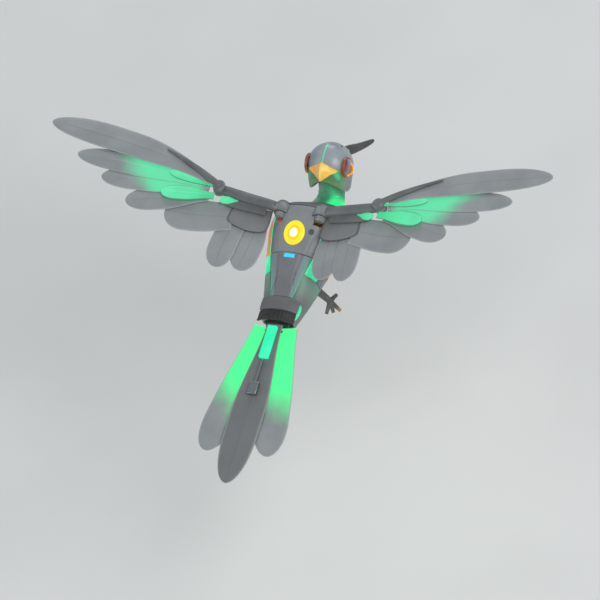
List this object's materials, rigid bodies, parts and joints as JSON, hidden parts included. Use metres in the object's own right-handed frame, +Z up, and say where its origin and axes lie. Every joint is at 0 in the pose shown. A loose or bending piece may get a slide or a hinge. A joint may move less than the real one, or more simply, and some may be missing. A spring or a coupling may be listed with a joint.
{
  "type": "motion wing decoy",
  "caption": "Flying bird decoy with geared flapping wings, folding wing tips, turning head, fanning tail and lit panels, held by a shoe under the belly.",
  "frame": {"origin": "centre of the flat underside of the mounting shoe under the belly", "axes": "+Z up out of the shoe through the back, -Y the way the bird flies, +Y to the tail, +X to the bird's own left"},
  "size_m": [0.6012, 0.4994, 0.1621],
  "materials": {
    "beak_yellow": "semi gloss",
    "body_grey": "satin",
    "dark_grey": "satin",
    "feather_grey": "satin",
    "gear_plastic": "moulded",
    "head_grey": "semi gloss",
    "lamp_yellow": "lit",
    "light_blue": "lit",
    "light_green": "lit translucent",
    "neck_green": "lit translucent",
    "orange": "semi gloss",
    "steel": "satin"
  },
  "bodies": {
    "body": {"back_plate": "body_grey", "shoulder_collar": "dark_grey", "back_lamp": "lamp_yellow", "rump_plate": "body_grey", "status_light": "light_blue", "left_side_light": "light_green", "right_side_light": "light_green", "left_flank": "body_grey", "right_flank": "body_grey", "breast_shell": "orange", "belly_shell": "body_grey", "mount_shoe": "steel", "tail_cowl": "dark_grey", "left_shoulder_pin": "steel", "right_shoulder_pin": "steel", "bulkhead": "steel", "wing_motor": "steel", "neck_sleeve": "neck_green", "neck_post": "steel"},
    "power_button": {"power_button": "dark_grey"},
    "battery_door": {"battery_door": "dark_grey"},
    "left_idler": {"left_idler_gear": "gear_plastic"},
    "right_idler": {"right_idler_gear": "gear_plastic"},
    "drive_pinion": {"drive_pinion": "steel"},
    "left_wing": {"left_wing_arm": "dark_grey", "left_arm_covert": "feather_grey", "left_secondary_1": "feather_grey", "left_secondary_2": "feather_grey", "left_secondary_3": "feather_grey"},
    "right_wing": {"right_wing_arm": "dark_grey", "right_arm_covert": "feather_grey", "right_secondary_1": "feather_grey", "right_secondary_2": "feather_grey", "right_secondary_3": "feather_grey"},
    "left_hand": {"left_hand_spar": "dark_grey", "left_primary_1": "feather_grey", "left_primary_2": "feather_grey", "left_primary_3": "feather_grey", "left_primary_4": "feather_grey", "left_hand_covert": "light_green"},
    "right_hand": {"right_hand_spar": "dark_grey", "right_primary_1": "feather_grey", "right_primary_2": "feather_grey", "right_primary_3": "feather_grey", "right_primary_4": "feather_grey", "right_hand_covert": "light_green"},
    "head": {"head_shell": "head_grey", "upper_beak": "beak_yellow", "left_eye": "orange", "right_eye": "orange"},
    "lower_beak": {"lower_beak": "beak_yellow"},
    "crest": {"crest": "dark_grey"},
    "tail": {"tail_hub": "dark_grey", "centre_tail_feather": "feather_grey", "tail_light": "light_green"},
    "left_fan": {"left_tail_feather": "feather_grey"},
    "right_fan": {"right_tail_feather": "feather_grey"},
    "fan_slider": {"fan_slider": "steel"},
    "left_leg": {"left_leg": "dark_grey"},
    "right_leg": {"right_leg": "dark_grey"}
  },
  "joints": [
    {"name": "left_wing_flap", "type": "hinge", "parent": "body", "child": "left_wing", "pos_m": [0.024, 0, 0.08], "axis": [0, -1, 0], "range_deg": [-25, 35]},
    {"name": "right_wing_flap", "type": "hinge", "parent": "body", "child": "right_wing", "pos_m": [-0.024, 0, 0.08], "axis": [0, 1, 0], "range_deg": [-25, 35]},
    {"name": "left_idler_spin", "type": "hinge", "parent": "body", "child": "left_idler", "pos_m": [0.01, 0, 0.06869], "axis": [0, -1, 0], "range_deg": [-32, 32]},
    {"name": "right_idler_spin", "type": "hinge", "parent": "body", "child": "right_idler", "pos_m": [-0.01, 0, 0.06869], "axis": [0, -1, 0], "range_deg": [-32, 32]},
    {"name": "pinion_spin", "type": "hinge", "parent": "body", "child": "drive_pinion", "pos_m": [-0.013, 0, 0.05399], "axis": [0, -1, 0], "range_deg": [-60, 60]},
    {"name": "left_wrist_fold", "type": "hinge", "parent": "left_wing", "child": "left_hand", "pos_m": [0.09578, -0.0085, 0.1013], "axis": [-0.1822, 0, 0.9833], "range_deg": [0, 35]},
    {"name": "right_wrist_fold", "type": "hinge", "parent": "right_wing", "child": "right_hand", "pos_m": [-0.09578, -0.0085, 0.1013], "axis": [-0.1822, 0, -0.9833], "range_deg": [0, 35]},
    {"name": "head_turn", "type": "hinge", "parent": "body", "child": "head", "pos_m": [0, -0.082, 0.0565], "axis": [0, -0.3665, 0.9304], "range_deg": [-110, 110]},
    {"name": "beak_open", "type": "hinge", "parent": "head", "child": "lower_beak", "pos_m": [0, -0.05964, 0.06457], "axis": [-1, 0, 0], "range_deg": [0, 8]},
    {"name": "crest_tilt", "type": "hinge", "parent": "head", "child": "crest", "pos_m": [0, -0.11407, 0.0383], "axis": [-1, 0, 0], "range_deg": [-10, 20]},
    {"name": "tail_pitch", "type": "hinge", "parent": "body", "child": "tail", "pos_m": [0, 0.11177, 0.04001], "axis": [1, 0, 0], "range_deg": [-11, 15]},
    {"name": "left_fan_close", "type": "hinge", "parent": "tail", "child": "left_fan", "pos_m": [0.009, 0.13187, 0.03974], "axis": [0, 0.1132, 0.9936], "range_deg": [0, 8]},
    {"name": "right_fan_close", "type": "hinge", "parent": "tail", "child": "right_fan", "pos_m": [-0.009, 0.13187, 0.03974], "axis": [0, -0.1132, -0.9936], "range_deg": [0, 8]},
    {"name": "fan_slide", "type": "slide", "parent": "tail", "child": "fan_slider", "axis": [0, 0.9936, -0.1132], "range_m": [0, 0.008]},
    {"name": "left_hip", "type": "hinge", "parent": "body", "child": "left_leg", "pos_m": [0.02, 0.06, 0.025], "axis": [1, 0, 0], "range_deg": [-10, 35]},
    {"name": "right_hip", "type": "hinge", "parent": "body", "child": "right_leg", "pos_m": [-0.02, 0.06, 0.025], "axis": [1, 0, 0], "range_deg": [-10, 35]},
    {"name": "battery_door_hinge", "type": "hinge", "parent": "body", "child": "battery_door", "pos_m": [0, 0.0771, 0.0163], "axis": [-1, 0, 0], "range_deg": [0, 80]},
    {"name": "power_button_press", "type": "slide", "parent": "body", "child": "power_button", "axis": [0.4322, 0, -0.9018], "range_m": [0, 0.0015], "stiffness_N_per_m": 300, "springref_m": -0.0005}
  ],
  "couplings": [
    {"joint": "right_wing_flap", "follows": "left_wing_flap", "ratio": 1},
    {"joint": "left_idler_spin", "follows": "left_wing_flap", "ratio": -0.8},
    {"joint": "right_idler_spin", "follows": "left_wing_flap", "ratio": 0.8},
    {"joint": "pinion_spin", "follows": "left_wing_flap", "ratio": -1.6},
    {"joint": "right_fan_close", "follows": "left_fan_close", "ratio": 1},
    {"joint": "fan_slide", "follows": "left_fan_close", "m_per_rad": 0.057296}
  ]
}
